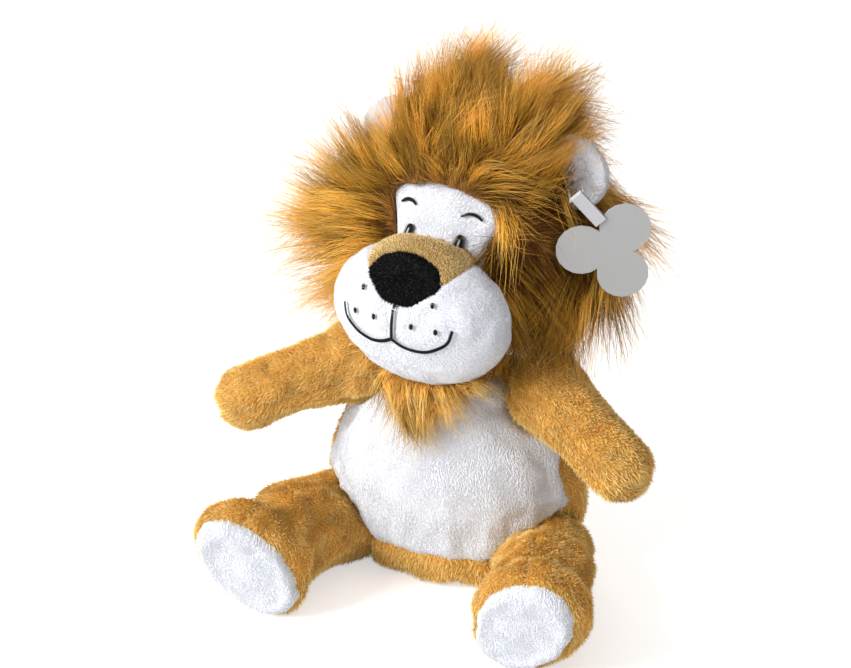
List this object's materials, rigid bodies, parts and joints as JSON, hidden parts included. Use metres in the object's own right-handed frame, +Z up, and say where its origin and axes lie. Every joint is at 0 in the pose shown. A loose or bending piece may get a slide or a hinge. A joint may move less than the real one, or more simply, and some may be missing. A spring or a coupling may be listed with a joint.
{
  "type": "plush lion",
  "caption": "Seated plush lion with long-pile mane, stuffed trunk, arms and legs, embroidered face and a blank hang tag on one ear.",
  "frame": {"origin": "on the floor under the neck, on the flat of the seat", "axes": "+Z up, -Y the way the trunk and legs face, +X the lion's own left"},
  "size_m": [0.2218, 0.2196, 0.2632],
  "materials": {
    "golden_plush": "short-pile plush",
    "white_plush": "short-pile plush",
    "tan_plush": "short-pile plush",
    "black_plush": "short-pile plush",
    "mane_fur": "long-pile plush",
    "dark_thread": "satin-stitch embroidery",
    "white_thread": "satin-stitch embroidery",
    "stuffing": "fibre filling",
    "pouch_cloth": "woven cloth filled with pellets",
    "grey_card": "matt card",
    "strap": "matt folded strip",
    "clear_thread": "nylon thread"
  },
  "bodies": {
    "trunk": {"belly_panel": "white_plush", "back_panel_left": "golden_plush", "back_panel_right": "golden_plush", "seat_panel": "golden_plush", "trunk_stuffing": "stuffing", "neck": "mane_fur", "seat_pouch": "pouch_cloth"},
    "head": {"face_panel": "white_plush", "muzzle_panel": "white_plush", "nose_bridge": "tan_plush", "nose": "black_plush", "head_stuffing": "stuffing", "mouth_line": "dark_thread", "mane_left": "mane_fur", "mane_right": "mane_fur", "mane_back": "mane_fur", "chin_tuft": "mane_fur", "eye_left": "dark_thread", "eye_right": "dark_thread", "eye_highlight_left": "white_thread", "eye_highlight_right": "white_thread", "brow_left": "dark_thread", "brow_right": "dark_thread", "whisker_dot_left_upper": "dark_thread", "whisker_dot_left_inner": "dark_thread", "whisker_dot_left_outer": "dark_thread", "whisker_dot_right_upper": "dark_thread", "whisker_dot_right_inner": "dark_thread", "whisker_dot_right_outer": "dark_thread", "ear_left_lining": "white_plush", "ear_left_back": "white_plush", "ear_right_lining": "white_plush", "ear_right_back": "white_plush", "tag_thread": "clear_thread"},
    "tag": {"tag_card": "grey_card", "tag_strap": "strap"},
    "arm_left": {"arm_left_upper_panel": "golden_plush", "arm_left_under_panel": "golden_plush", "arm_left_stuffing": "stuffing"},
    "arm_right": {"arm_right_upper_panel": "golden_plush", "arm_right_under_panel": "golden_plush", "arm_right_stuffing": "stuffing"},
    "leg_left": {"leg_left_outer_panel": "golden_plush", "leg_left_inner_panel": "golden_plush", "sole_left": "white_plush", "leg_left_stuffing": "stuffing"},
    "leg_right": {"leg_right_outer_panel": "golden_plush", "leg_right_inner_panel": "golden_plush", "sole_right": "white_plush", "leg_right_stuffing": "stuffing"},
    "tail": {"tail_tube": "golden_plush", "tail_tuft": "mane_fur"}
  },
  "joints": [
    {"name": "neck_nod", "type": "hinge", "parent": "trunk", "child": "head", "pos_m": [0, 0, 0.114], "axis": [0.9803, -0.1977, 0], "range_deg": [-8, 9], "stiffness_Nm_per_rad": 0.8},
    {"name": "arm_left_swing", "type": "hinge", "parent": "trunk", "child": "arm_left", "pos_m": [0.051, -0.002, 0.103], "axis": [0, 0, -1], "range_deg": [-12, 18], "stiffness_Nm_per_rad": 0.15},
    {"name": "arm_right_swing", "type": "hinge", "parent": "trunk", "child": "arm_right", "pos_m": [-0.051, -0.002, 0.103], "axis": [0, 0, 1], "range_deg": [-12, 18], "stiffness_Nm_per_rad": 0.15},
    {"name": "leg_left_lift", "type": "hinge", "parent": "trunk", "child": "leg_left", "pos_m": [0.053, -0.014, 0.0213], "axis": [-0.6157, 0, 0.788], "range_deg": [0, 18], "stiffness_Nm_per_rad": 0.15},
    {"name": "leg_right_lift", "type": "hinge", "parent": "trunk", "child": "leg_right", "pos_m": [-0.053, -0.014, 0.0213], "axis": [-0.6157, 0, -0.788], "range_deg": [0, 18], "stiffness_Nm_per_rad": 0.15},
    {"name": "tail_swing", "type": "hinge", "parent": "trunk", "child": "tail", "pos_m": [0, 0.0446, 0.019], "axis": [0, 0, 1], "range_deg": [-25, 25], "stiffness_Nm_per_rad": 0.03},
    {"name": "tag_flap", "type": "hinge", "parent": "head", "child": "tag", "pos_m": [0.06177, -0.00225, 0.207], "axis": [-0.691, -0.2736, -0.6691], "range_deg": [0, 40]}
  ]
}
